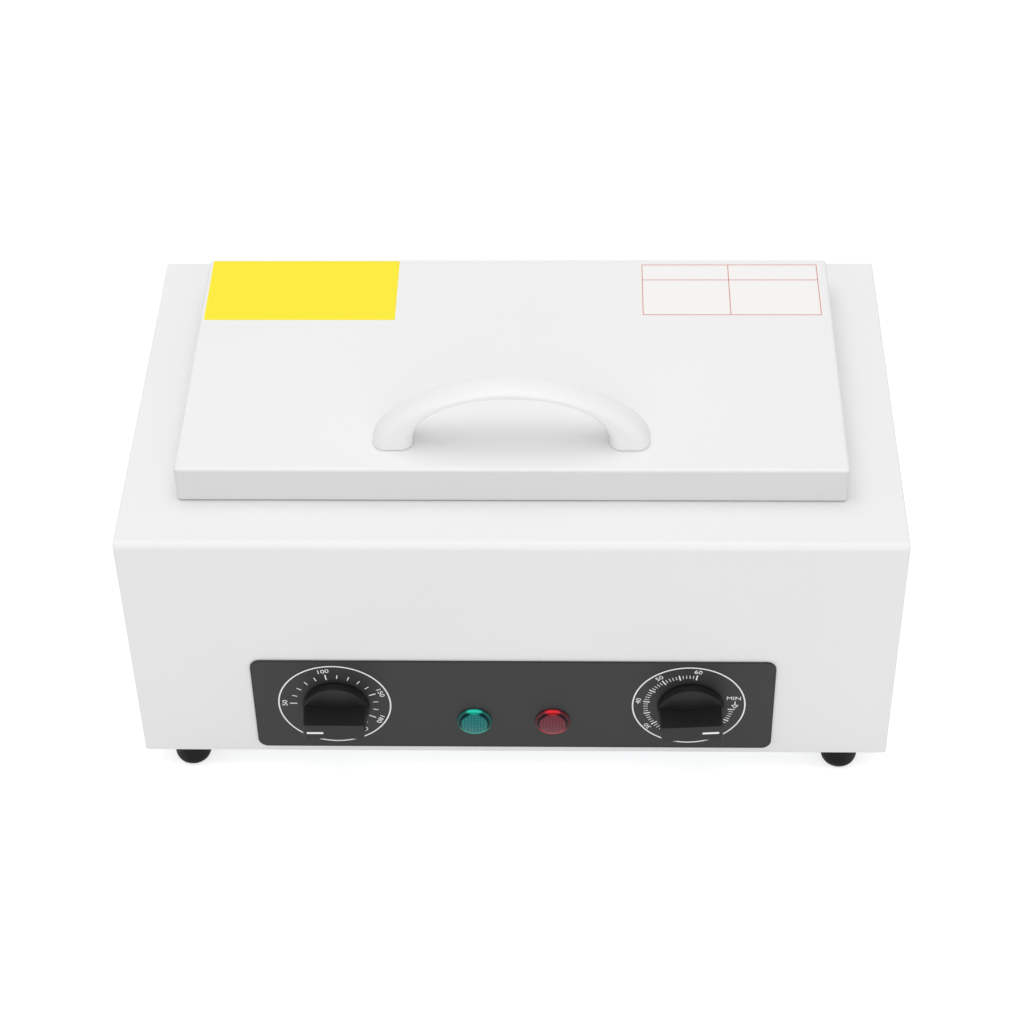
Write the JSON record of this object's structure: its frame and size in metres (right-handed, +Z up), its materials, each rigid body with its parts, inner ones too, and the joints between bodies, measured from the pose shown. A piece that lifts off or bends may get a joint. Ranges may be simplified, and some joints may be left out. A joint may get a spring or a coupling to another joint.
{
  "type": "dry heat sterilizer",
  "caption": "Small white bench-top dry heat sterilizer: a heated steel chamber under a hinged insulated lid with a bow handle, and a dark panel with dials and pilot lamps.",
  "frame": {"origin": "middle of the whole object's box, on the surface that its feet stand on", "axes": "+X to the right seen from the front, along the control panel; +Y from the front to the back; +Z up"},
  "size_m": [0.34, 0.2186, 0.192],
  "materials": {
    "white_paint": "semi-gloss white powder coat",
    "white_plastic": "smooth moulded white plastic",
    "stainless": "satin stainless steel",
    "galvanised": "dull galvanised sheet",
    "zinc": "bright zinc-plated steel",
    "foot_rubber": "matt black rubber",
    "fascia": "dark grey printed plate with white dial scales",
    "knob": "satin black moulded plastic with a white pointer line",
    "green_lens": "clear green prismatic lens",
    "red_lens": "clear red prismatic lens",
    "black_plastic": "black moulded plastic",
    "ceramic": "cream glazed ceramic",
    "copper": "bare copper tube",
    "wool": "yellow mineral wool",
    "silicone": "red silicone rubber",
    "sleeve": "dark heat-proof sleeving"
  },
  "bodies": {
    "cabinet": {"case_shell": "white_paint", "base_plate": "galvanised", "rear_panel": "white_paint", "rear_panel_screw_lower_left": "zinc", "rear_panel_screw_lower_right": "zinc", "rear_panel_screw_upper_left": "zinc", "rear_panel_screw_upper_right": "zinc", "foot_front_left": "foot_rubber", "foot_front_right": "foot_rubber", "foot_rear_left": "foot_rubber", "foot_rear_right": "foot_rubber", "foot_screw_front_left": "zinc", "foot_screw_front_right": "zinc", "foot_screw_rear_left": "zinc", "foot_screw_rear_right": "zinc", "chamber_pan": "stainless", "instrument_tray": "stainless", "heating_element": "stainless", "heater_clamp_left": "zinc", "heater_clamp_right": "zinc", "thermal_cutout": "black_plastic", "chamber_insulation": "wool", "insulation_jacket": "galvanised", "thermostat_capillary": "copper", "power_inlet": "black_plastic", "terminal_block": "ceramic", "wiring_loom": "sleeve", "control_fascia": "fascia", "thermostat_body": "black_plastic", "timer_body": "black_plastic", "timer_bell": "zinc", "green_lamp_body": "black_plastic", "green_lamp_lens": "green_lens", "red_lamp_body": "black_plastic", "red_lamp_lens": "red_lens", "hinge_case_leaf_left": "zinc", "hinge_case_leaf_right": "zinc", "hinge_pin_left": "zinc", "hinge_pin_right": "zinc", "hinge_case_screw_left_1": "zinc", "hinge_case_screw_left_2": "zinc", "hinge_case_screw_right_1": "zinc", "hinge_case_screw_right_2": "zinc"},
    "lid": {"lid_shell": "white_paint", "lid_inner_plate": "stainless", "lid_insulation": "wool", "lid_gasket": "silicone", "lid_handle": "white_plastic", "handle_screw_left": "zinc", "handle_screw_right": "zinc", "hinge_lid_leaf_left": "zinc", "hinge_lid_leaf_right": "zinc", "hinge_lid_screw_left_1": "zinc", "hinge_lid_screw_left_2": "zinc", "hinge_lid_screw_right_1": "zinc", "hinge_lid_screw_right_2": "zinc"},
    "thermostat_control": {"thermostat_knob": "knob", "thermostat_shaft": "zinc"},
    "timer_control": {"timer_knob": "knob", "timer_shaft": "zinc"}
  },
  "joints": [
    {"name": "lid_hinge", "type": "hinge", "parent": "cabinet", "child": "lid", "pos_m": [0, 0.08965, 0.1463], "axis": [-1, 0, 0], "range_deg": [0, 100]},
    {"name": "thermostat_turn", "type": "hinge", "parent": "cabinet", "child": "thermostat_control", "pos_m": [-0.0798, -0.09165, 0.0442], "axis": [0, 1, 0], "range_deg": [0, 205]},
    {"name": "timer_turn", "type": "hinge", "parent": "cabinet", "child": "timer_control", "pos_m": [0.0798, -0.09165, 0.0442], "axis": [0, 1, 0], "range_deg": [0, 283]}
  ]
}
